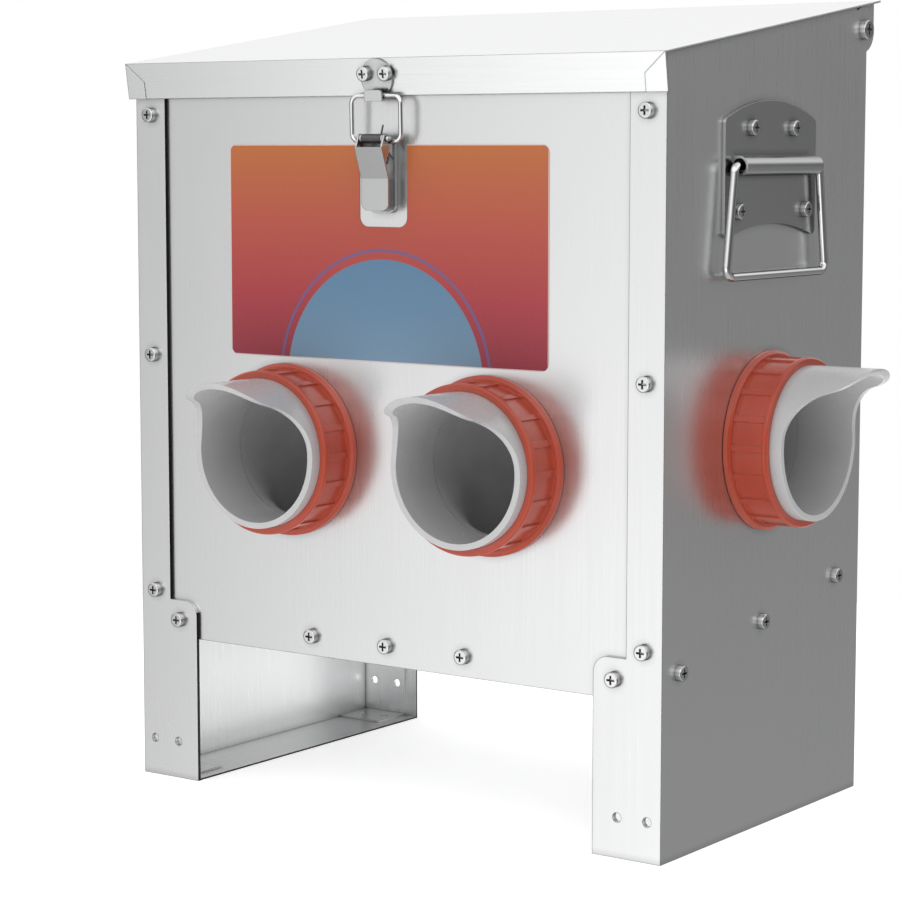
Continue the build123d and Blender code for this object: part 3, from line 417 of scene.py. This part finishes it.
def tube(name, path, across, radius):
    """Closed round tube along a flat path; across is the normal of its plane."""
    bm = bmesh.new()
    rings = []
    for i, point in enumerate(path):
        along = (path[min(i + 1, len(path) - 1)] - path[max(i - 1, 0)]).normalized()
        side = along.cross(across)
        ring = []
        for k in range(WIRE_SIDES):
            angle = 2 * math.pi * k / WIRE_SIDES
            ring.append(bm.verts.new(point + radius * (math.cos(angle) * across + math.sin(angle) * side)))
        rings.append(ring)
    for ring, after in zip(rings, rings[1:]):
        for k in range(WIRE_SIDES):
            n = (k + 1) % WIRE_SIDES
            bm.faces.new((ring[k], ring[n], after[n], after[k])).smooth = True
    bm.faces.new(reversed(rings[0]))
    bm.faces.new(rings[-1])
    bmesh.ops.recalc_face_normals(bm, faces=bm.faces)
    mesh = bpy.data.meshes.new(name)
    bm.to_mesh(mesh)
    bm.free()
    made = bpy.data.objects.new(name, mesh)
    bpy.context.scene.collection.objects.link(made)
    return made


def latch_wire():
    """The wire loop hooked into the catch."""
    pivot = hinge_place("latch_bail_hinge")
    reach = Vector((0, BAR_Y, BAR_Z)) - pivot
    up = reach.normalized()
    across = Vector((1, 0, 0)).cross(up)
    wire = tube("latch_wire_loop", wire_path(pivot, up, reach.length), across, WIRE_R)
    wire.data.materials.append(CHROME)
    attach(wire, "latch_bail")
    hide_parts("latch_bail")


latch_wire()

# ---------------------------------------------------------------- floor and lights

FLOOR_R = 0.65
FLOOR_SIDES = 96
CARD_LIFT = 0.0001
CARD_REAR = 0.35              # how far the card runs out behind the body


def pale_floor():
    """Pale material that glows a little, so that only soft shadows show on it."""
    material, g, shader = new_material("floor_white")
    cloud = g.noise(g.coords(), 3.0)
    g.link(g.mix(cloud, grey(0.92), grey(0.95)), shader.inputs["Base Color"])
    shader.inputs["Roughness"].default_value = 0.8
    shader.inputs["Specular IOR Level"].default_value = 0.0
    shader.inputs["Emission Color"].default_value = grey(1.0)
    shader.inputs["Emission Strength"].default_value = 0.5
    return material


def flat_piece(name, points, material):
    """One flat polygon of the stage."""
    mesh = bpy.data.meshes.new(name)
    mesh.from_pydata(points, [], [tuple(range(len(points)))])
    mesh.materials.append(material)
    made = bpy.data.objects.new(name, mesh)
    bpy.context.scene.collection.objects.link(made)
    return made


def floor():
    """Round floor that reflections leave out, and a card, between the legs and behind, that they show."""
    material = pale_floor()
    turns = [2 * math.pi * k / FLOOR_SIDES for k in range(FLOOR_SIDES)]
    disc = [(FLOOR_R * math.cos(a), FLOOR_R * math.sin(a), 0.0) for a in turns]
    flat_piece("floor", disc, material).visible_glossy = False
    low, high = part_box("hopper_floor")
    rear = high.y + CARD_REAR
    corners = [(low.x, low.y), (high.x, low.y), (high.x, rear), (low.x, rear)]
    flat_piece("under_card", [(x, y, CARD_LIFT) for x, y in corners], material)


floor()


def area_light(name, place, target, size, power):
    """Soft rectangular light aimed at a point."""
    data = bpy.data.lights.new(name, "AREA")
    data.shape = "RECTANGLE"
    data.size, data.size_y = size
    data.energy = power
    lamp = bpy.data.objects.new(name, data)
    lamp.location = place
    lamp.rotation_euler = (Vector(target) - Vector(place)).to_track_quat("-Z", "Y").to_euler()
    bpy.context.scene.collection.objects.link(lamp)


area_light("key", place=(0.4, -1.5, 1.7), target=(0.0, 0.0, 0.25), size=(1.4, 1.4), power=4.0)
area_light("top", place=(-0.3, 0.2, 2.4), target=(0.0, 0.0, 0.3), size=(2.4, 2.4), power=4.0)

world = bpy.data.worlds.new("studio")
bpy.context.scene.world = world
world.use_nodes = True
world.node_tree.nodes.clear()
wg = Graph(world.node_tree)
direction = wg.node("ShaderNodeTexCoord")
xyz = wg.node("ShaderNodeSeparateXYZ")
wg.link(direction.outputs["Generated"], xyz.inputs[0])
azimuth = wg.math("DIVIDE", wg.math("ARCTAN2", xyz.outputs["X"], xyz.outputs["Y"]), 2 * math.pi)
turn = wg.math("FRACT", wg.math("ADD", azimuth, 1.0))


def at(degrees_east_of_rear):
    """Ramp place for an azimuth counted from +Y towards +X."""
    return (degrees_east_of_rear % 360) / 360.0


SKY = 1.05                    # above the band, below the overhead part
OVERHEAD = 0.62
UNDERFOOT = 0.50
# Soft boxes and dark cards in the band around the object: azimuth in degrees, and brightness.
STUDIO = [(0, 0.60), (12, 0.26), (26, 0.22), (46, 0.26), (58, 0.11), (136, 0.11), (148, 0.90),
          (200, 1.12), (210, 1.10), (214, 1.08), (217, 0.98), (220, 0.74), (223, 0.44), (228, 0.28),
          (246, 0.22), (254, 0.14), (306, 0.13), (316, 1.0), (345, 1.0), (355, 0.75), (359.9, 0.60)]
band = wg.ramp(turn, [(at(d), grey(v)) for d, v in STUDIO])
low_lift = wg.remap(xyz.outputs["Z"], -0.22, 0.02, to_low=1.26, to_high=0.88)
band = wg.vector_math("MULTIPLY", band, low_lift)
height = wg.remap(xyz.outputs["Z"], 0.10, 0.38, smooth=True)
sky = wg.mix(height, band, grey(SKY))
overhead = wg.remap(xyz.outputs["Z"], 0.55, 0.95, smooth=True)
sky = wg.mix(overhead, sky, grey(OVERHEAD))
underfoot = wg.remap(xyz.outputs["Z"], -0.35, -0.75, smooth=True)
sky = wg.mix(underfoot, sky, grey(UNDERFOOT))
seen = wg.node("ShaderNodeLightPath")
sky = wg.mix(seen.outputs["Is Camera Ray"], sky, grey(1.0))
background = wg.node("ShaderNodeBackground")
wg.link(sky, background.inputs["Color"])
background.inputs["Strength"].default_value = 1.0
world_out = wg.node("ShaderNodeOutputWorld")
wg.link(background.outputs[0], world_out.inputs[0])

# ---------------------------------------------------------------- camera

CAMERA_PLACE = (0.8101, -1.13455, 0.3399)
YAW = 35.965                  # degrees to the left of straight back
PITCH = 6.486                 # degrees down
LENS = 106.45                 # mm, on a 36 mm sensor

bpy.context.scene.view_settings.view_transform = "Standard"

camera_data = bpy.data.cameras.new("camera")
camera_data.sensor_width = 36.0
camera_data.lens = LENS
camera = bpy.data.objects.new("camera", camera_data)
camera.location = CAMERA_PLACE
yaw = math.radians(YAW)
pitch = math.radians(PITCH)
forward = Vector((-math.sin(yaw) * math.cos(pitch), math.cos(yaw) * math.cos(pitch), -math.sin(pitch)))
camera.rotation_euler = forward.to_track_quat("-Z", "Y").to_euler()
bpy.context.scene.collection.objects.link(camera)
bpy.context.scene.camera = camera
